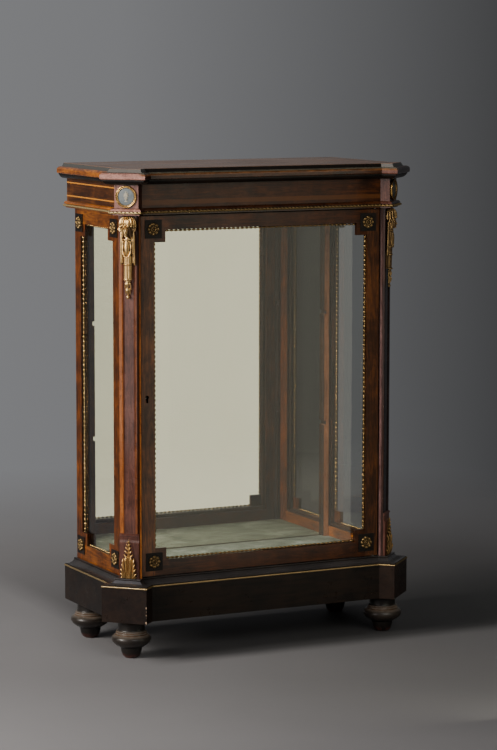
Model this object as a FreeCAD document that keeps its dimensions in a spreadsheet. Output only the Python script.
import FreeCAD, Part
import math
import os
import Sketcher

# A glazed display cabinet with canted front corners, on four turned feet.
# The frame is at its real size in millimetres: +Z up, +X right, the door faces -Y.
# The origin is the centre of the cabinet's box at floor level.

vector = FreeCAD.Vector
doc = FreeCAD.newDocument("display_cabinet")
sheet = doc.addObject("Spreadsheet::Sheet", "Sizes")
ROOT_HALF = math.sqrt(0.5)
MITRE = math.sqrt(2) - 1


class Size:
    """A length that knows its value and the expression that gives it from the sheet."""

    def __init__(self, value, text):
        self.value = float(value)
        self.text = text

    def __add__(self, other):
        other = as_size(other)
        return Size(self.value + other.value, f"({self.text} + {other.text})")

    def __sub__(self, other):
        other = as_size(other)
        return Size(self.value - other.value, f"({self.text} - {other.text})")

    def __mul__(self, factor):
        return Size(self.value * factor, f"({self.text} * {factor!r})")

    def __truediv__(self, factor):
        return Size(self.value / factor, f"({self.text} / {factor!r})")

    def __neg__(self):
        return Size(-self.value, f"(-1 * {self.text})")

    def __radd__(self, other):
        return as_size(other) + self

    def __rsub__(self, other):
        return as_size(other) - self

    __rmul__ = __mul__


def as_size(number):
    return number if isinstance(number, Size) else Size(number, repr(float(number)))


def distance(p, q):
    """The length between two points, as a size."""
    across = q[0] - p[0]
    along = q[1] - p[1]
    value = math.hypot(across.value, along.value)
    return Size(value, f"sqrt({across.text}^2 + {along.text}^2)")


sheet_rows = []


def size(name, value):
    """Writes one driving dimension into the sheet and returns it."""
    row = len(sheet_rows) + 1
    sheet.set(f"A{row}", name)
    sheet.set(f"B{row}", str(value))
    sheet.setAlias(f"B{row}", name)
    sheet_rows.append(name)
    return Size(value, f"Sizes.{name}")


# Heights, from the floor up
foot_height = size("foot_height", 84)
plinth_height = size("plinth_height", 75.5)
strip_height = size("strip_height", 4.5)
cap_height = size("cap_height", 13)
case_height = size("case_height", 793)
lip_height = size("lip_height", 15)
frieze_height = size("frieze_height", 50)
cornice_height = size("cornice_height", 12)
lower_top_height = size("lower_top_height", 15)
upper_top_height = size("upper_top_height", 8)

# Plan of the frieze, which every other level is set out from
frieze_width = size("frieze_width", 664)
block_width = size("block_width", 55.4)
block_setback = size("block_setback", 6.15)
plinth_projection = size("plinth_projection", 24.4)
strip_projection = size("strip_projection", 1.5)
top_projection = size("top_projection", 24.4)
upper_top_projection = size("upper_top_projection", 12)
upper_top_slope = size("upper_top_slope", 4.5)
cornice_projection = size("cornice_projection", 20)
lip_projection = size("lip_projection", 10.2)
case_inset = size("case_inset", 4.4)
pilaster_width = size("pilaster_width", 45)
pilaster_setback = size("pilaster_setback", 11.4)
plinth_depth = size("plinth_depth", 316)
case_rear_inset = size("case_rear_inset", 4)
top_overhang_back = size("top_overhang_back", 31)

# Wood and glass
rail_thickness = size("rail_thickness", 22)
ring_inset = size("ring_inset", 20)
foot_block = size("foot_block", 52)
frame_thickness = size("frame_thickness", 24)
floor_thickness = size("floor_thickness", 17.5)
lining_thickness = size("lining_thickness", 3)
ceiling_thickness = size("ceiling_thickness", 12)
back_thickness = size("back_thickness", 10)
mirror_thickness = size("mirror_thickness", 4)
glass_thickness = size("glass_thickness", 3)
lip_of_frame = size("lip_of_frame", 8)
rebate_depth = size("rebate_depth", 8)
stop_width = size("stop_width", 6)
bead_width = size("bead_width", 6.5)
notch_width = size("notch_width", 27)
rear_strip_width = size("rear_strip_width", 12.6)
rear_strip_depth = size("rear_strip_depth", 16)
mirror_lap = size("mirror_lap", 6)
shelf_notch_height = size("shelf_notch_height", 10)
shelf_notch_depth = size("shelf_notch_depth", 5)
lower_shelf_rise = size("lower_shelf_rise", 268)
upper_shelf_rise = size("upper_shelf_rise", 529)

# Wood round the glazed openings
bottom_rail_height = size("bottom_rail_height", 36)
top_rail_height = size("top_rail_height", 33)
front_stile_width = size("front_stile_width", 42)
rear_stile_width = size("rear_stile_width", 30.5)

# Door
door_thickness = size("door_thickness", 22)
door_stile_width = size("door_stile_width", 31)
door_gap_below = size("door_gap_below", 2)
door_gap_above = size("door_gap_above", 3)
lock_gap = size("lock_gap", 2.2)
hinge_gap = size("hinge_gap", 3)
stop_depth = size("stop_depth", 10)
jamb_face = size("jamb_face", 6)
keeper_height = size("keeper_height", 40)
mortise_room = size("mortise_room", 1)
post_bead_radius = size("post_bead_radius", 2.6)
post_bead_setting = size("post_bead_setting", 3.75)
panel_sinking = size("panel_sinking", 2)
stop_gap = size("stop_gap", 0.6)

# Pivots
pivot_inset = size("pivot_inset", 8.8)
pivot_setback = size("pivot_setback", 5)
pivot_radius = size("pivot_radius", 2)
pivot_clearance = size("pivot_clearance", 0.05)
pivot_length = size("pivot_length", 14)
washer_radius = size("washer_radius", 3.6)
washer_gap = size("washer_gap", 0.05)
plate_thickness = size("plate_thickness", 2.5)
plate_length = size("plate_length", 25)
plate_width = size("plate_width", 8)

# Lock
lock_rise = size("lock_rise", 392)
lock_case_height = size("lock_case_height", 52)
lock_case_width = size("lock_case_width", 22)
lock_case_depth = size("lock_case_depth", 10)
lock_wall = size("lock_wall", 1.5)
bolt_height = size("bolt_height", 14)
bolt_thickness = size("bolt_thickness", 4)
bolt_length = size("bolt_length", 16)
bolt_travel = size("bolt_travel", 7)
bolt_clearance = size("bolt_clearance", 0.1)
keyhole_inset = size("keyhole_inset", 12.5)
keyhole_radius = size("keyhole_radius", 3.2)
keyhole_slot_width = size("keyhole_slot_width", 3)
keyhole_drop = size("keyhole_drop", 13)

# Ornaments
square_side = size("square_side", 40)
square_thickness = size("square_thickness", 1.2)
rosette_radius = size("rosette_radius", 14.5)
rosette_height = size("rosette_height", 4.2)
side_square_front_outset = size("side_square_front_outset", 6)
side_square_rear_outset = size("side_square_rear_outset", 6)
square_rise = size("square_rise", 1.8)
square_drop = size("square_drop", 3)
square_outset = size("square_outset", 2.1)
ring_radius = size("ring_radius", 24.2)
ring_thickness = size("ring_thickness", 4.5)
plaque_radius = size("plaque_radius", 19)
plaque_thickness = size("plaque_thickness", 3)
pedestal_thickness = size("pedestal_thickness", 4.5)
pedestal_height = size("pedestal_height", 98.5)
pedestal_block_height = size("pedestal_block_height", 77.5)
pedestal_shoulder_height = size("pedestal_shoulder_height", 11)
pedestal_neck_thickness = size("pedestal_neck_thickness", 1.5)
pedestal_cap_height = size("pedestal_cap_height", 5)
pedestal_cap_thickness = size("pedestal_cap_thickness", 3.4)
herm_top_gap = size("herm_top_gap", 2)
herm_height = size("herm_height", 179)
herm_width = size("herm_width", 38)
herm_depth = size("herm_depth", 23)
leaf_height = size("leaf_height", 89)
leaf_width = size("leaf_width", 38)
leaf_depth = size("leaf_depth", 9.5)

# Feet
foot_inset = size("foot_inset", 42)
front_foot_inset = size("front_foot_inset", 41.5)
rear_foot_inset = size("rear_foot_inset", 46)
foot_toe_radius = size("foot_toe_radius", 13.5)
foot_cup_radius = size("foot_cup_radius", 24)
foot_cup_height = size("foot_cup_height", 24)
foot_bulge_radius = size("foot_bulge_radius", 43.8)
foot_bulge_height = size("foot_bulge_height", 42)
foot_bulge_half = size("foot_bulge_half", 13)
foot_neck_radius = size("foot_neck_radius", 30)
foot_neck_start = size("foot_neck_start", 61)
spigot_radius = size("spigot_radius", 12.5)
spigot_length = size("spigot_length", 22)

# Levels worked out from the heights
plinth_bottom = foot_height
plinth_top = plinth_bottom + plinth_height
strip_top = plinth_top + strip_height
case_bottom = strip_top + cap_height
case_top = case_bottom + case_height
lip_top = case_top + lip_height
frieze_top = lip_top + frieze_height
cornice_top = frieze_top + cornice_height
lower_top_top = cornice_top + lower_top_height
overall_height = lower_top_top + upper_top_height

# Depths worked out from the plan
base_along = block_width / (2 * math.sqrt(2)) + block_setback / math.sqrt(2)
base_reach = block_width / (2 * math.sqrt(2)) - block_setback / math.sqrt(2)
strip_offset = plinth_projection + strip_projection
forward_reach = strip_offset + base_reach + strip_offset * MITRE
backward_reach = plinth_depth + top_overhang_back - plinth_projection
frieze_half = frieze_width / 2
frieze_front = (forward_reach - backward_reach) / 2
plinth_front = frieze_front - plinth_projection
plinth_rear = plinth_front + plinth_depth
case_rear = plinth_rear - case_rear_inset
top_rear = plinth_rear + top_overhang_back
case_half = frieze_half - case_inset
door_front = frieze_front + case_inset
door_rear = door_front + door_thickness
case_along = pilaster_width / (2 * math.sqrt(2)) + pilaster_setback / math.sqrt(2)
case_reach = pilaster_width / (2 * math.sqrt(2)) - pilaster_setback / math.sqrt(2)
post_depth = case_along + case_reach
post_inner = case_half - post_depth
jamb_outer = case_half - case_along
post_rear = door_front + post_depth
frame_inner = case_half - frame_thickness
mirror_front = case_rear - back_thickness - mirror_thickness
mirror_half = frame_inner - mirror_lap
lining_top = case_bottom + lining_thickness
opening_bottom = case_bottom + bottom_rail_height
opening_top = case_top - top_rail_height
lower_shelf_level = case_bottom + lower_shelf_rise
upper_shelf_level = case_bottom + upper_shelf_rise
lock_centre_height = case_bottom + lock_rise
foot_x = frieze_half + plinth_projection - foot_inset
front_foot_y = plinth_front + front_foot_inset
rear_foot_y = plinth_rear - rear_foot_inset
door_bottom = case_bottom + door_gap_below
door_top = case_top - door_gap_above
door_left = -post_inner + lock_gap
door_right = post_inner - hinge_gap
opening_left = door_left + door_stile_width
opening_right = door_right - door_stile_width
side_opening_front = post_rear + front_stile_width
side_opening_rear = case_rear - rear_stile_width


def block_plan(offset):
    """Half width, front, and the two runs of the canted block at an offset from the frieze."""
    offset = as_size(offset)
    along = base_along + offset
    reach = base_reach + offset * MITRE
    return frieze_half + offset, frieze_front - offset, along, reach


def half_outline(offset):
    """The right half of the plan at an offset, from the side forward to the front."""
    half, front, along, reach = block_plan(offset)
    return [
        (half, front + along + reach),
        (half + reach, front + along),
        (half - along, front - reach),
        (half - along - reach, front),
    ]


def mirrored(points):
    return [(-x, y) for x, y in reversed(points)]


def board_outline(offset):
    """The whole plan at an offset, closed at the back of the top."""
    half = frieze_half + offset
    right = [(half, top_rear)] + half_outline(offset)
    return right + mirrored(right)


def plane_of(body, role):
    return [item for item in body.Origin.OriginFeatures if item.Role == role][0]


def add_outline(sketch, start, steps):
    """Draws a closed outline. A step is a point, or (point, share, turn) for an arc.

    The arc's radius is that share of its chord; turn is 1 for a left turn and -1 for a right one.
    """
    corners = [start] + [step[0] if len(step) == 3 else step for step in steps]
    corners = [(as_size(x), as_size(y)) for x, y in corners]
    count = len(corners)
    ends = []
    for index in range(count):
        p = corners[index]
        q = corners[(index + 1) % count]
        step = steps[index] if index < len(steps) else None
        first = vector(p[0].value, p[1].value, 0)
        last = vector(q[0].value, q[1].value, 0)
        if step is not None and len(step) == 3:
            share, turn = step[1], step[2]
            radius = distance(p, q) * share
            chord = last - first
            side = vector(-chord.y, chord.x, 0).normalize() * turn
            rise = math.sqrt(max(radius.value ** 2 - (chord.Length / 2) ** 2, 0))
            centre = (first + last) * 0.5 + side * rise
            circle = Part.Circle(centre, vector(0, 0, 1), radius.value)
            begin = math.atan2(first.y - centre.y, first.x - centre.x)
            end = math.atan2(last.y - centre.y, last.x - centre.x)
            if turn > 0:
                geometry = sketch.addGeometry(Part.ArcOfCircle(circle, begin, end), False)
                ends.append((geometry, 1, 2))
            else:
                geometry = sketch.addGeometry(Part.ArcOfCircle(circle, end, begin), False)
                ends.append((geometry, 2, 1))
            rule = sketch.addConstraint(Sketcher.Constraint("Radius", geometry, radius.value))
            sketch.setExpression(f"Constraints[{rule}]", radius.text)
        else:
            geometry = sketch.addGeometry(Part.LineSegment(first, last), False)
            ends.append((geometry, 1, 2))
    for index in range(count):
        here = ends[index]
        following = ends[(index + 1) % count]
        sketch.addConstraint(Sketcher.Constraint("Coincident", here[0], here[2], following[0], following[1]))
    for index, corner in enumerate(corners):
        fix_point(sketch, ends[index][0], ends[index][1], corner)


def add_path(sketch, points):
    """Draws an open run of straight lines."""
    for index in range(len(points) - 1):
        p, q = points[index], points[index + 1]
        sketch.addGeometry(Part.LineSegment(vector(p[0].value, p[1].value, 0),
                                            vector(q[0].value, q[1].value, 0)), False)
    for index in range(len(points) - 2):
        sketch.addConstraint(Sketcher.Constraint("Coincident", index, 2, index + 1, 1))
    for index in range(len(points) - 1):
        fix_point(sketch, index, 1, points[index])
    fix_point(sketch, len(points) - 2, 2, points[-1])


def fix_point(sketch, geometry, end, point):
    """Ties one end of a line to its place from the origin."""
    for kind, coordinate in (("DistanceX", point[0]), ("DistanceY", point[1])):
        rule = Sketcher.Constraint(kind, -1, 1, geometry, end, coordinate.value)
        number = sketch.addConstraint(rule)
        sketch.setExpression(f"Constraints[{number}]", coordinate.text)


def new_body(label):
    body = doc.addObject("PartDesign::Body", "Body_" + label)
    body.Label = label
    return body


def new_sketch(body, role, level, name):
    """A sketch in a body on one of its origin planes, moved along the plane's normal."""
    sketch = body.newObject("Sketcher::SketchObject", name + "_" + body.Name)
    sketch.AttachmentSupport = (plane_of(body, role), "")
    sketch.MapMode = "FlatFace"
    level = as_size(level)
    sketch.AttachmentOffset = FreeCAD.Placement(vector(0, 0, level.value), FreeCAD.Rotation())
    sketch.setExpression("AttachmentOffset.Base.z", level.text)
    return sketch


def place(item, x, y, z, turn=0.0, axis=(0, 0, 1)):
    """Puts a sub-part at a point worked out from the sheet, turned about an axis."""
    spot = [as_size(value) for value in (x, y, z)]
    item.Placement = FreeCAD.Placement(vector(*[value.value for value in spot]),
                                       FreeCAD.Rotation(vector(*axis), turn))
    for letter, value in zip("xyz", spot):
        item.setExpression(f"Placement.Base.{letter}", value.text)
    return item


def box(label, x, y, z):
    """A board between two levels on each axis."""
    item = doc.addObject("Part::Box", "Box_" + label)
    item.Label = label
    for name, (low, high) in zip(("Length", "Width", "Height"), (x, y, z)):
        span = as_size(high) - as_size(low)
        setattr(item, name, span.value)
        item.setExpression(name, span.text)
    return place(item, x[0], y[0], z[0])


def rod(label, radius, length, x, y, z, axis="Z"):
    """A round bar from a point, along an axis."""
    item = doc.addObject("Part::Cylinder", "Rod_" + label)
    item.Label = label
    radius, length = as_size(radius), as_size(length)
    item.Radius = radius.value
    item.Height = length.value
    item.setExpression("Radius", radius.text)
    item.setExpression("Height", length.text)
    turn, about = {"Z": (0, (0, 0, 1)), "Y": (-90, (1, 0, 0)), "X": (90, (0, 1, 0))}[axis]
    return place(item, x, y, z, turn, about)


def strip(label, radius, length, x, y, z, axis="Z"):
    """A narrow eight-sided bar, in place of a strip of beads."""
    item = doc.addObject("Part::Prism", "Strip_" + label)
    item.Label = label
    radius, length = as_size(radius), as_size(length)
    item.Polygon = 8
    item.Circumradius = radius.value
    item.Height = length.value
    item.setExpression("Circumradius", radius.text)
    item.setExpression("Height", length.text)
    turn, about = {"Z": (0, (0, 0, 1)), "Y": (-90, (1, 0, 0)), "X": (90, (0, 1, 0))}[axis]
    return place(item, x, y, z, turn, about)


def cut(label, base, *tools):
    item = doc.addObject("Part::Cut", "Cut_" + label)
    item.Base = base
    item.Tool = tools[0] if len(tools) == 1 else fuse("tools_of_" + label, *tools)
    item.Label = label
    return item


def fuse(label, *parts):
    item = doc.addObject("Part::MultiFuse", "Fuse_" + label)
    item.Shapes = list(parts)
    item.Refine = True
    item.Label = label
    return item


def common(label, *parts):
    item = doc.addObject("Part::MultiCommon", "Common_" + label)
    item.Shapes = list(parts)
    item.Label = label
    return item


def group(label, *parts):
    """Identical pieces that stay separate solids in one node."""
    item = doc.addObject("Part::Compound", "Group_" + label)
    item.Links = list(parts)
    item.Label = label
    return item


def prism(label, plane, outline, low, high, taper=0):
    """A padded outline. The plane XY pads up, XZ pads towards -Y, and YZ pads along X."""
    body = new_body(label)
    low, high = as_size(low), as_size(high)
    level = -high if plane == "XZ" else low
    sketch = new_sketch(body, plane + "_Plane", level, "Outline")
    add_outline(sketch, outline[0], outline[1:])
    pad = body.newObject("PartDesign::Pad", "Pad_" + body.Name)
    pad.Profile = sketch
    span = high - low
    pad.Length = span.value
    pad.setExpression("Length", span.text)
    pad.TaperAngle = taper
    return body


def turned(label, plane, outline):
    """A turned piece: an outline of (radius, height) points about the plane's upright axis."""
    body = new_body(label)
    sketch = new_sketch(body, plane + "_Plane", 0, "Profile")
    add_outline(sketch, outline[0], outline[1:])
    turning = body.newObject("PartDesign::Revolution", "Turning_" + body.Name)
    turning.Profile = sketch
    turning.ReferenceAxis = (sketch, ["V_Axis"])
    turning.Angle = 360
    return body


def run_moulding(body, rear, profile):
    """Sweeps a profile round the front and sides, mitred at every corner of the canted blocks.

    The profile's points are (offset from the frieze, level).
    """
    path = new_sketch(body, "XY_Plane", 0, "Path")
    right = [(frieze_half, rear)] + half_outline(0)
    add_path(path, right + mirrored(right))
    section = new_sketch(body, "XZ_Plane", -rear, "Section")
    points = []
    for step in profile:
        offset, level = step[0] if len(step) == 3 else step
        point = (frieze_half + offset, as_size(level))
        points.append((point, step[1], step[2]) if len(step) == 3 else point)
    add_outline(section, points[0], points[1:])
    sweep = body.newObject("PartDesign::AdditivePipe", "Run_" + body.Name)
    sweep.Profile = section
    sweep.Spine = path
    sweep.Transition = "Right corner"
    return body


def loft(label, plane, sections):
    """A ruled body through outlines at levels along the plane's normal."""
    body = new_body(label)
    sketches = []
    for index, (outline, level) in enumerate(sections):
        sketch = new_sketch(body, plane + "_Plane", level, f"Level{index}")
        add_outline(sketch, outline[0], outline[1:])
        sketches.append(sketch)
    shape = body.newObject("PartDesign::AdditiveLoft", "Loft_" + body.Name)
    shape.Profile = sketches[0]
    shape.Sections = sketches[1:]
    shape.Ruled = True
    return body


nodes = {}


def node(item):
    """Keeps a finished sub-part under its label."""
    nodes[item.Label] = item
    return item


SIDES = (("left", -1), ("right", 1))


def foot_profile():
    """Radius and height of a turned foot: a tapered toe, a bulb, a neck and a spigot."""
    return [
        (0, 0),
        (foot_toe_radius, 0),
        (foot_cup_radius, foot_cup_height),
        (foot_bulge_radius, foot_bulge_height - foot_bulge_half * 0.25),
        (foot_bulge_radius, foot_bulge_height + foot_bulge_half * 0.25),
        (foot_neck_radius, foot_neck_start),
        (foot_neck_radius, foot_height),
        (spigot_radius, foot_height),
        (spigot_radius, foot_height + spigot_length),
        (0, foot_height + spigot_length),
    ]


def make_feet():
    for row, y in (("front", front_foot_y), ("rear", rear_foot_y)):
        pair = []
        for name, side in SIDES:
            foot = turned(f"foot_{row}_{name}", "XZ", foot_profile())
            pair.append(place(foot, foot_x * side, y, 0))
        node(group(f"feet_{row}", *pair))


def spigot_hole(label, side, y):
    return rod(label, spigot_radius, spigot_length, foot_x * side, y, foot_height)


def corner_block(label, side, offset, low, high):
    """The canted block at a front corner: a square block with the rectangle set across it."""
    half, front, along, reach = block_plan(offset)
    outline = half_outline(offset)
    outline.append((half - along - reach, front + along + reach))
    return prism(label, "XY", [(x * side, y) for x, y in outline], low, high)


def make_plinth():
    half, front, along, reach = block_plan(plinth_projection)
    inner = half - along - reach
    corner_rear = front + along + reach
    levels = (plinth_bottom, plinth_top)
    rear_rail_front = plinth_rear - rail_thickness
    node(box("plinth_front_rail", (-inner, inner), (front, front + rail_thickness), levels))
    node(box("plinth_back_rail", (-half, half), (rear_rail_front, plinth_rear), levels))
    blocks = []
    rear_blocks = []
    for name, side in SIDES:
        block = corner_block(f"plinth_block_form_{name}", side, plinth_projection, *levels)
        hole = spigot_hole(f"front_spigot_hole_{name}", side, front_foot_y)
        blocks.append(cut(f"plinth_corner_block_{name}", block, hole))
        ends = sorted(((half - rail_thickness) * side, half * side), key=lambda value: value.value)
        node(box(f"plinth_side_rail_{name}", ends, (corner_rear, rear_rail_front), levels))
        inner_face = half - rail_thickness
        span = sorted(((inner_face - foot_block) * side, inner_face * side), key=lambda value: value.value)
        rear_block = box(f"plinth_rear_block_form_{name}", span,
                         (rear_rail_front - foot_block, rear_rail_front), levels)
        rear_hole = spigot_hole(f"rear_spigot_hole_{name}", side, rear_foot_y)
        rear_blocks.append(cut(f"plinth_rear_block_{name}", rear_block, rear_hole))
    node(group("plinth_corner_blocks", *blocks))
    node(group("plinth_rear_blocks", *rear_blocks))


def make_plinth_mouldings():
    inner = -ring_inset
    proud = strip_offset
    strip = run_moulding(new_body("plinth_gilt_strip"), plinth_rear, [
        (plinth_projection - 5, plinth_top),
        (proud - 1, plinth_top),
        (proud, plinth_top + strip_height * 0.3),
        (proud, plinth_top + strip_height * 0.7),
        (proud - 1, strip_top),
        (plinth_projection - 5, strip_top),
    ])
    node(strip)
    bead_foot = case_bottom - 3.5
    cap = run_moulding(new_body("plinth_cap_moulding_form"), plinth_rear, [
        (inner, plinth_top),
        (plinth_projection - 5, plinth_top),
        (plinth_projection - 5, strip_top),
        (plinth_projection - 1, strip_top),
        (plinth_projection - 1, strip_top + 1.5),
        ((2.5, bead_foot - 1.5), 0.9, -1),
        (1, bead_foot),
        ((1, case_bottom), 0.6, 1),
        (inner, case_bottom),
    ])
    return cap


def make_floor():
    half = frieze_half - ring_inset
    front = frieze_front + ring_inset
    node(box("floor_board", (-half, half), (front, plinth_rear), (case_bottom - floor_thickness, case_bottom)))
    node(box("floor_lining", (-frame_inner, frame_inner), (post_rear, case_rear - back_thickness),
             (case_bottom, lining_top)))


def face_across(share):
    """A point on the pilaster's face, a share of the way from its front edge to its side edge."""
    front_edge = (case_half - case_along, door_front - case_reach)
    run = pilaster_width * (share * ROOT_HALF)
    return front_edge[0] + run, front_edge[1] + run


def make_corner_posts():
    """Each front post carries the pilaster across its corner, and a jamb that the door stands beside."""
    margin = 0.15
    slope = 0.27
    panel_head = case_top - herm_top_gap - herm_height * 0.5
    panel_foot = case_bottom + pedestal_height
    near = panel_sinking * ROOT_HALF
    out = post_bead_setting * ROOT_HALF
    for name, side in SIDES:
        solid = [
            (jamb_outer, door_front - case_reach),
            (case_half + case_reach, door_front + case_along),
            (case_half, post_rear),
            (jamb_outer, post_rear),
        ]
        post = prism(f"post_form_{name}", "XY", [(x * side, y) for x, y in solid], case_bottom, case_top)
        panel = [
            face_across(margin),
            (face_across(slope)[0] - near, face_across(slope)[1] + near),
            (face_across(1 - slope)[0] - near, face_across(1 - slope)[1] + near),
            face_across(1 - margin),
        ]
        panel = [(x * side, y) for x, y in panel]
        recess = prism(f"pilaster_recess_{name}", "XY", panel, panel_foot, panel_head)
        bead = rod(f"post_bead_side_{name}", post_bead_radius, case_height,
                   (case_half + out) * side, post_rear - out, case_bottom)
        node(cut(f"corner_post_{name}", fuse(f"post_with_bead_{name}", post, bead), recess))


def make_jambs():
    """The jambs beside the door. The left one houses the bolt's keeper and has the door's stop."""
    out = post_bead_setting * ROOT_HALF
    face_rear = door_front + jamb_face
    low = lock_centre_height - keeper_height / 2
    high = lock_centre_height + keeper_height / 2
    levels = (case_bottom, case_top)
    jambs = []
    for name, side in SIDES:
        rear = face_rear if side < 0 else post_rear
        plan = [
            (post_inner, door_front),
            (jamb_outer, door_front - case_reach),
            (jamb_outer, rear),
            (post_inner, rear),
        ]
        form = prism(f"jamb_form_{name}", "XY", [(x * side, y) for x, y in plan], *levels)
        bead = rod(f"jamb_bead_{name}", post_bead_radius, case_height,
                   (post_inner + out) * side, door_front - out, case_bottom)
        jamb = fuse(f"jamb_face_{name}", form, bead)
        if side > 0:
            notches = shelf_notches(name, side, post_inner, 1, (post_rear - 12, post_rear))
            jamb = cut(f"jamb_{name}", jamb, *notches)
        jambs.append(jamb)
    across = (-jamb_outer, -post_inner)
    deep = (face_rear, post_rear)
    jambs.append(box("jamb_backing_lower", across, deep, (case_bottom, low)))
    jambs.append(box("jamb_backing_upper", across, deep, (high, case_top)))
    node(group("door_jambs", *jambs))
    keeper = box("bolt_keeper_form", across, deep, (low, high))
    node(cut("bolt_keeper", keeper, bolt_mortise()))
    stop_inner = post_inner - stop_depth
    stop = box("door_stop_form", (-post_inner, -stop_inner), (door_rear + stop_gap, post_rear), levels)
    node(cut("door_stop", stop, *shelf_notches("left", -1, stop_inner, 1, (post_rear - 12, post_rear))))


def shelf_notches(name, side, edge, inward, depth):
    """Notches in the edge of an upright that take the ends of the shelves."""
    tools = []
    for row, level in (("lower", lower_shelf_level), ("upper", upper_shelf_level)):
        span = sorted(((edge - 1) * side, (edge + shelf_notch_depth * inward) * side),
                      key=lambda value: value.value)
        label = f"{row}_notch_{name}_{'front' if depth[1] is post_rear else 'rear'}"
        tools.append(box(label, span, depth, (level, level + shelf_notch_height)))
    return tools


def bolt_levels():
    return lock_centre_height - bolt_height / 2, lock_centre_height + bolt_height / 2


def bolt_depths():
    middle = door_front + door_thickness / 2 + 1
    return middle - bolt_thickness / 2, middle + bolt_thickness / 2


def bolt_mortise():
    """The slot in the keeper that the bolt is thrown into."""
    low, high = bolt_levels()
    front, rear = bolt_depths()
    room = mortise_room
    return box("bolt_mortise", (-post_inner - bolt_travel + lock_gap - room, -post_inner + room),
               (front - room, rear + room), (low - room, high + room))


def at_corner(item, side, setback, z):
    """Puts a piece made facing -Y on the middle of a canted face."""
    x = (frieze_half - case_inset - setback * ROOT_HALF) * side
    y = door_front + setback * ROOT_HALF
    return place(item, x, y, z, 45.0 * side)


def make_pedestals():
    """The block at the foot of each pilaster, with its sloped shoulder and small cap."""
    block = pedestal_block_height
    top = pedestal_height
    proud = -pedestal_thickness
    parts = []
    for name, side in SIDES:
        profile = [
            (0, 0),
            (proud, 0),
            (proud, block),
            ((-pedestal_neck_thickness, block + pedestal_shoulder_height), 1.1, 1),
            (-pedestal_neck_thickness, block + pedestal_shoulder_height * 1.4),
            (-pedestal_cap_thickness, top - pedestal_cap_height),
            (-pedestal_cap_thickness, top - pedestal_cap_height * 0.4),
            (0, top),
        ]
        body = prism(f"pedestal_{name}", "YZ", profile, -(pilaster_width / 2), pilaster_width / 2)
        parts.append(at_corner(body, side, pilaster_setback, case_bottom))
    node(group("pilaster_pedestals", *parts))


def glazed_levels():
    return opening_bottom, opening_top


def notched_rail(label, plane, ends, outer, edge, depth):
    """A rail whose ends carry the square blocks that step into the corners of the glass."""
    low, high = ends
    inward = notch_width if edge.value > outer.value else -notch_width
    outline = [
        (low, outer),
        (high, outer),
        (high, edge + inward),
        (high - notch_width, edge + inward),
        (high - notch_width, edge),
        (low + notch_width, edge),
        (low + notch_width, edge + inward),
        (low, edge + inward),
    ]
    return prism(label, plane, outline, *depth)


def make_side_frames():
    low, high = glazed_levels()
    lap = rebate_depth
    glass_out = case_half - lip_of_frame
    glass_in = glass_out - glass_thickness
    stop_in = glass_in - stop_width
    front, rear = side_opening_front, side_opening_rear
    beads = []
    stops = []
    for name, side in SIDES:
        def span(inner, outer):
            return sorted((inner * side, outer * side), key=lambda value: value.value)

        rebate = box(f"side_rebate_{name}", span(frame_inner - 1, glass_out),
                     (front - lap, rear + lap), (low - lap, high + lap))
        frame = span(frame_inner, case_half)
        pieces = [
            box(f"side_front_stile_form_{name}", frame, (post_rear, front), (case_bottom, case_top)),
            box(f"side_rear_stile_form_{name}", frame, (rear, case_rear), (case_bottom, case_top)),
            notched_rail(f"side_bottom_rail_form_{name}", "YZ", (front, rear), case_bottom, low, frame),
            notched_rail(f"side_top_rail_form_{name}", "YZ", (front, rear), case_top, high, frame),
        ]
        cut_pieces = [cut(piece.Label.replace("_form", ""), piece, rebate) for piece in pieces]
        node(group(f"side_frame_{name}", *cut_pieces))
        node(box(f"side_glass_{name}", span(glass_in, glass_out),
                 (front - lap, rear + lap), (low - lap, high + lap)))
        radius = bead_width / 2
        x = (glass_out + radius) * side
        step = notch_width
        for end, y in (("front", front + radius), ("rear", rear - radius)):
            beads.append(strip(f"side_bead_{end}_{name}", radius, high - low - step * 2, x, y, low + step))
        for end, z in (("bottom", low + radius), ("top", high - radius)):
            beads.append(strip(f"side_bead_{end}_{name}", radius, rear - front - step * 2, x, front + step, z, "Y"))
        inside = span(stop_in, glass_in)
        stops += frame_stops(f"side_{name}", inside, (front - lap, rear + lap), (low - lap, high + lap), "Y")
    node(group("side_beads", *beads))
    node(group("side_glass_stops", *stops))


def frame_stops(name, depth, across, levels, run):
    """Four fillets that hold a pane from inside, filling its rebate."""
    lap = rebate_depth
    first, last = across
    low, high = levels
    pieces = (
        ("low", (first, last), (low, low + lap)),
        ("high", (first, last), (high - lap, high)),
        ("first", (first, first + lap), (low + lap, high - lap)),
        ("last", (last - lap, last), (low + lap, high - lap)),
    )
    stops = []
    for end, along, height in pieces:
        x, y = (depth, along) if run == "Y" else (along, depth)
        stops.append(box(f"{name}_stop_{end}", x, y, height))
    return stops


def make_back():
    back_front = case_rear - back_thickness
    node(box("back_panel", (-frame_inner, frame_inner), (back_front, case_rear), (case_bottom, case_top)))
    node(box("mirror", (-mirror_half, mirror_half), (mirror_front, back_front), (lining_top, case_top)))
    inner = frame_inner - rear_strip_width
    front = back_front - rear_strip_depth
    for name, side in SIDES:
        outline = [
            (inner, front),
            (frame_inner, front),
            (frame_inner, back_front),
            (mirror_half, back_front),
            (mirror_half, mirror_front),
            (inner, mirror_front),
        ]
        strip = prism(f"rear_strip_form_{name}", "XY", [(x * side, y) for x, y in outline], lining_top, case_top)
        notches = shelf_notches(name, side, inner, 1, (front - 1, mirror_front))
        node(cut(f"rear_post_{name}", strip, *notches))


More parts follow.
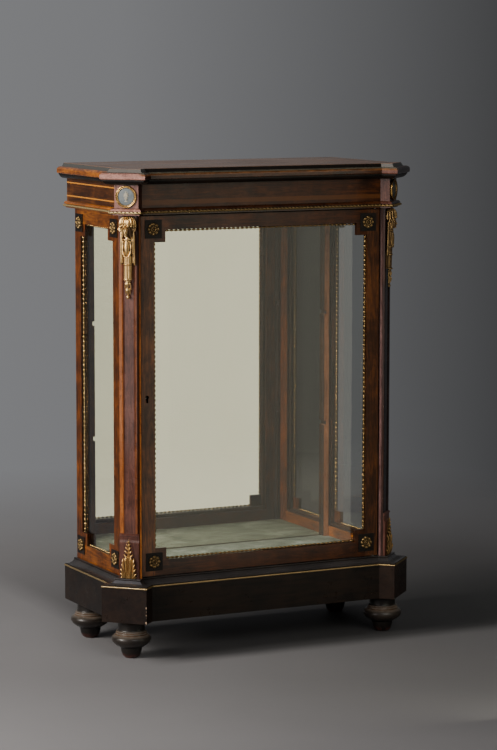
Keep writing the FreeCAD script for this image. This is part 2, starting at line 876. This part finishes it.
def lock_span():
    """The lock sits flush with the door's left edge, just behind the middle of its thickness."""
    front, rear = bolt_depths()
    middle = (front + rear) / 2
    x = (door_left, door_left + lock_case_width)
    y = (middle - lock_case_depth / 2, middle + lock_case_depth / 2)
    z = (lock_centre_height - lock_case_height / 2, lock_centre_height + lock_case_height / 2)
    return x, y, z


def keyhole(label, front, rear):
    """A round hole over a slot, from front to rear."""
    x = door_left + keyhole_inset
    top = lock_centre_height + keyhole_drop / 2 - keyhole_radius
    bottom = lock_centre_height - keyhole_drop / 2
    slot_half = keyhole_slot_width / 2
    hole = rod(label + "_round", keyhole_radius, rear - front, x, front, top, "Y")
    slot = box(label + "_slot", (x - slot_half, x + slot_half), (front, rear), (bottom, top))
    return fuse(label, hole, slot)


def pivot_spot():
    return door_right - pivot_inset, door_front + pivot_setback


def pivot_plate(label, low, high):
    """A flat brass plate let in around a pivot."""
    x, y = pivot_spot()
    end = plate_width / 2
    return box(label, (x - plate_length + end, x + end), (y - end, y + end), (low, high))


def make_pivots():
    """Centre pivots: a plate in each end of the hanging stile, a plate in the case, and a pin."""
    x, y = pivot_spot()
    room = pivot_radius + pivot_clearance
    thick = plate_thickness
    case_plates, door_plates, pins = [], [], []
    ends = (("top", case_top, door_top, 1), ("bottom", case_bottom, door_bottom, -1))
    for end, case_level, door_level, up in ends:
        into_case = (case_level, case_level + thick) if up > 0 else (case_level - thick, case_level)
        into_door = (door_level - thick, door_level) if up > 0 else (door_level, door_level + thick)
        case_plate = pivot_plate(f"case_plate_form_{end}", *into_case)
        door_plate = pivot_plate(f"door_plate_form_{end}", *into_door)
        seat = rod(f"pin_seat_{end}", pivot_radius, thick, x, y, into_case[0])
        eye = rod(f"pin_eye_{end}", room, thick, x, y, into_door[0])
        case_plates.append(cut(f"case_plate_{end}", case_plate, seat))
        door_plates.append(cut(f"door_plate_{end}", door_plate, eye))
        start = into_case[1] - pivot_length if up > 0 else into_case[0]
        pin = rod(f"pivot_pin_shank_{end}", pivot_radius, pivot_length, x, y, start)
        if up < 0:
            rise = door_gap_below - washer_gap
            washer = rod(f"pivot_washer_{end}", washer_radius, rise, x, y, case_level)
            pin = fuse(f"pivot_pin_{end}", pin, washer)
        pins.append(pin)
    node(group("pivot_plates_case", *case_plates))
    node(group("pivot_plates_door", *door_plates))
    node(group("pivot_pins", *pins))


def make_door():
    low, high = glazed_levels()
    lap = rebate_depth
    glass_front = door_front + lip_of_frame
    glass_rear = glass_front + glass_thickness
    levels = (door_bottom, door_top)
    rebate = box("door_rebate", (opening_left - lap, opening_right + lap),
                 (glass_front, door_rear + 1), (low - lap, high + lap))
    left = box("door_stile_left_form", (door_left, opening_left), (door_front, door_rear), levels)
    x, y, z = lock_span()
    lock_room = box("lock_room", x, y, z)
    front_hole = keyhole("keyhole_in_stile", door_front, y[0])
    node(cut("door_stile_left", left, rebate, lock_room, front_hole))
    right = box("door_stile_right_form", (opening_right, door_right), (door_front, door_rear), levels)
    pivot_x, pivot_y = pivot_spot()
    thick = plate_thickness
    bore = pivot_radius + 0.5
    deep = pivot_length - thick
    tools = [rebate]
    for end, start, plate in (("top", door_top - deep, door_top - thick), ("bottom", door_bottom, door_bottom)):
        tools.append(rod(f"pin_bore_{end}", bore, deep, pivot_x, pivot_y, start))
        tools.append(pivot_plate(f"plate_room_{end}", plate, plate + thick))
    node(cut("door_stile_right", right, *tools))
    ends = (opening_left, opening_right)
    depth = (door_front, door_rear)
    bottom = notched_rail("door_rail_bottom_form", "XZ", ends, door_bottom, low, depth)
    top = notched_rail("door_rail_top_form", "XZ", ends, door_top, high, depth)
    node(cut("door_rail_bottom", bottom, rebate))
    node(cut("door_rail_top", top, rebate))
    node(box("door_glass", (opening_left - lap, opening_right + lap), (glass_front, glass_rear),
             (low - lap, high + lap)))
    radius = bead_width / 2
    bead_y = glass_front - radius
    step = notch_width
    beads = []
    for end, bead_x in (("left", opening_left + radius), ("right", opening_right - radius)):
        beads.append(strip(f"door_bead_{end}", radius, high - low - step * 2, bead_x, bead_y, low + step))
    for end, bead_z in (("bottom", low + radius), ("top", high - radius)):
        run = opening_right - opening_left - step * 2
        beads.append(strip(f"door_bead_{end}", radius, run, opening_left + step, bead_y, bead_z, "X"))
    node(group("door_beads", *beads))
    node(group("door_glass_stops", *frame_stops("door", (glass_rear, glass_rear + stop_width),
                                               (opening_left - lap, opening_right + lap),
                                               (low - lap, high + lap), "X")))


def make_lock():
    x, y, z = lock_span()
    wall = lock_wall
    low, high = bolt_levels()
    front, rear = bolt_depths()
    gap = bolt_clearance
    blank = box("lock_case_blank", x, y, z)
    channel = box("bolt_channel", (x[0] - 1, x[1] - wall), (front - gap, rear + gap), (low - gap, high + gap))
    hole = keyhole("keyhole_in_lock", y[0], front)
    node(cut("lock_case", blank, channel, hole))
    bolt = box("bolt_blank", (x[0], x[0] + bolt_length), (front, rear), (low, high))
    talon_x = x[0] + keyhole_inset
    talon = box("bolt_talon", (talon_x - 2.5, talon_x + 2.5), (front, rear), (low, lock_centre_height - 3))
    node(cut("lock_bolt", bolt, talon))


def star(radius, valley):
    """An outline of eight petals, whose points and valleys lie on two circles."""
    points = []
    for index in range(16):
        reach = radius if index % 2 == 0 else radius * valley
        angle = math.pi * index / 8
        points.append((reach * math.cos(angle), reach * math.sin(angle)))
    return points


def rosette(label):
    """A rosette of eight petals with sloping sides."""
    return prism(label, "XZ", star(rosette_radius, 0.84), -rosette_height, 0, -48)


def make_corner_ornaments():
    """An ebonised square with a rosette at each corner of the door and of each side frame."""
    half = square_side / 2
    low = opening_bottom - square_drop
    high = opening_top + square_rise
    squares, rosettes = [], []
    for row, z in (("bottom", low), ("top", high)):
        for name, x in (("left", opening_left - square_outset), ("right", opening_right + square_outset)):
            squares.append(box(f"door_square_{row}_{name}", (x - half, x + half),
                               (door_front - square_thickness, door_front), (z - half, z + half)))
            flower = rosette(f"door_rosette_{row}_{name}")
            rosettes.append(place(flower, x, door_front - square_thickness, z))
    node(group("door_corner_squares", *squares))
    node(group("door_rosettes", *rosettes))
    squares, rosettes = [], []
    for name, side in SIDES:
        faces = sorted((case_half * side, (case_half + square_thickness) * side), key=lambda value: value.value)
        for row, z in (("bottom", low), ("top", high)):
            middles = (("front", side_opening_front - side_square_front_outset),
                       ("rear", side_opening_rear + side_square_rear_outset))
            for end, y in middles:
                squares.append(box(f"side_square_{row}_{end}_{name}", faces, (y - half, y + half),
                                   (z - half, z + half)))
                flower = rosette(f"side_rosette_{row}_{end}_{name}")
                rosettes.append(place(flower, (case_half + square_thickness) * side, y, z, 90.0 * side))
    node(group("side_corner_squares", *squares))
    node(group("side_rosettes", *rosettes))


def make_lip():
    """The moulding between case and frieze: a wooden ovolo over a gilt half round."""
    low = case_top
    inner = -ring_inset
    strip_foot = low + 2
    strip_head = low + 9
    wood = run_moulding(new_body("lip_moulding_form"), top_rear, [
        (inner, low),
        (3, low),
        (3, strip_head),
        (lip_projection - 2.5, strip_head),
        ((0.5, lip_top), 0.75, 1),
        (inner, lip_top),
    ])
    strip = run_moulding(new_body("lip_gilt_strip"), top_rear, [
        (3, strip_foot),
        (lip_projection - 2.5, strip_foot + 1),
        (lip_projection, strip_foot + 3),
        (lip_projection, strip_head - 2),
        (lip_projection - 2.5, strip_head),
        (3, strip_head),
    ])
    node(strip)
    return wood


def make_frieze():
    half, front, along, reach = block_plan(0)
    inner = half - along - reach
    corner_rear = front + along + reach
    levels = (lip_top, frieze_top)
    back_front = top_rear - rail_thickness
    node(box("frieze_front", (-inner, inner), (front, front + rail_thickness), levels))
    back_rail = box("frieze_back_rail", (-half, half), (back_front, top_rear), levels)
    between = (rail_thickness - half, half - rail_thickness)
    back_fillet = box("frieze_back_fillet", between, (back_front, top_rear), (frieze_top, cornice_top))
    node(fuse("frieze_back", back_rail, back_fillet))
    for name, side in SIDES:
        node(corner_block(f"frieze_block_{name}", side, 0, *levels))
        span = sorted(((half - rail_thickness) * side, half * side), key=lambda value: value.value)
        node(box(f"frieze_side_{name}", span, (corner_rear, back_front), levels))


def make_medallions():
    """A gilt ring round a domed plaque on each canted block of the frieze."""
    middle = (lip_top + frieze_top) / 2
    inner = plaque_radius
    rings, plaques = [], []
    for name, side in SIDES:
        ring = turned(f"medallion_ring_{name}", "XY", [
            (inner, 0),
            (ring_radius, 0),
            (ring_radius - 1.5, -ring_thickness),
            (inner, -ring_thickness),
        ])
        plaque = turned(f"medallion_plaque_{name}", "XY", [
            (0, 0),
            (inner, 0),
            (inner * 0.7, -plaque_thickness),
            (0, -plaque_thickness),
        ])
        x = (frieze_half - block_setback * ROOT_HALF) * side
        y = frieze_front + block_setback * ROOT_HALF
        rings.append(place(ring, x, y, middle, 45.0 * side))
        plaques.append(place(plaque, x, y, middle, 45.0 * side))
    node(group("medallion_rings", *rings))
    node(group("medallion_plaques", *plaques))


def make_top():
    """The ebonised cove, the moulded lower board and the bevelled upper board."""
    inner = -rail_thickness
    cornice = run_moulding(new_body("cornice_moulding"), top_rear, [
        (inner, frieze_top),
        (1.5, frieze_top),
        (1.5, frieze_top + 1.5),
        ((cornice_projection - 1, cornice_top - 3), 0.72, 1),
        (cornice_projection, cornice_top - 3),
        (cornice_projection, cornice_top),
        (inner, cornice_top),
    ])
    node(cornice)
    board = prism("top_board_lower", "XY", board_outline(0), cornice_top, lower_top_top)
    edge_foot = cornice_top + 3
    edge_head = lower_top_top - 5
    run_moulding(board, top_rear, [
        (-5, cornice_top),
        (top_projection - 3, cornice_top),
        ((top_projection, edge_foot), 0.71, 1),
        (top_projection, edge_head),
        ((upper_top_projection, lower_top_top), 0.8, 1),
        (-5, lower_top_top),
    ])
    node(board)
    low_outline = board_outline(upper_top_projection)
    high_outline = board_outline(upper_top_projection - upper_top_slope)
    upper = loft("top_board_upper", "XY", [(low_outline, lower_top_top), (high_outline, overall_height)])
    node(upper)


def make_ceiling():
    half = frieze_half - ring_inset
    node(box("ceiling_board", (-half, half), (frieze_front + ring_inset, top_rear - rail_thickness),
             (case_top, case_top + ceiling_thickness)))


def relief_section(width, depth):
    """The section of a relief that stands out of a flat back."""
    half = width / 2
    face = half - depth * 0.35
    return [(-half, 0), (-face, -depth), (face, -depth), (half, 0)]


def carved_form(label, levels, width, depth, height):
    """A relief ornament as a ruled body through sections: (share of height, of width, of depth)."""
    sections = []
    for share, across, proud in levels:
        sections.append((relief_section(width * across, depth * proud), height * share))
    return loft(label, "XY", sections)


def make_mounts():
    """A gilt herm at the head of each pilaster, and acanthus leaves on its pedestal."""
    herm_levels = (
        (0.0, 0.1, 0.1),
        (0.2, 0.34, 0.24),
        (0.24, 0.5, 0.28),
        (0.47, 0.64, 0.34),
        (0.65, 0.95, 0.64),
        (0.76, 0.6, 0.5),
        (0.82, 0.7, 0.95),
        (0.95, 0.92, 0.95),
        (1.0, 0.5, 0.4),
    )
    leaf_levels = (
        (0.0, 0.95, 0.8),
        (0.12, 1.0, 1.0),
        (0.5, 0.76, 0.92),
        (0.66, 0.48, 0.7),
        (1.0, 0.08, 0.2),
    )
    herms, leaves = [], []
    herm_foot = case_top - herm_top_gap - herm_height
    for name, side in SIDES:
        herm = carved_form(f"herm_{name}", herm_levels, herm_width, herm_depth, herm_height)
        herms.append(at_corner(herm, side, pilaster_setback, herm_foot))
        leaf = carved_form(f"leaf_{name}", leaf_levels, leaf_width, leaf_depth, leaf_height)
        leaves.append(at_corner(leaf, side, pilaster_setback - pedestal_thickness, case_bottom))
    node(group("herm_mounts", *herms))
    node(group("leaf_mounts", *leaves))


def check_and_export():
    """Every object has to be sound before any file is written."""
    doc.recompute()
    faults = []
    for item in doc.Objects:
        if "Invalid" in item.State or "Error" in item.State:
            faults.append(f"{item.Label}: {item.State}")
    for label, item in nodes.items():
        shape = item.Shape
        if shape.isNull() or not shape.isValid() or not shape.Solids:
            faults.append(f"{label}: the shape isn't a sound solid")
    if faults:
        raise RuntimeError("; ".join(faults))
    os.makedirs("parts", exist_ok=True)
    for label, item in nodes.items():
        item.Shape.exportStep(f"parts/{label}.step")


make_feet()
make_plinth()
cap_form = make_plinth_mouldings()
make_floor()
make_corner_posts()
make_jambs()
make_pedestals()
make_side_frames()
make_back()
make_pivots()
make_door()
make_lock()
make_corner_ornaments()
lip_form = make_lip()
upper_seat = pivot_plate("upper_plate_room", case_top, case_top + plate_thickness)
lower_seat = pivot_plate("lower_plate_room", case_bottom - plate_thickness, case_bottom)
node(cut("lip_moulding", lip_form, upper_seat))
node(cut("plinth_cap_moulding", cap_form, lower_seat))
make_frieze()
make_medallions()
make_top()
make_ceiling()
make_mounts()
check_and_export()
print(len(nodes), "nodes", sum(len(item.Shape.Solids) for item in nodes.values()), "solids")
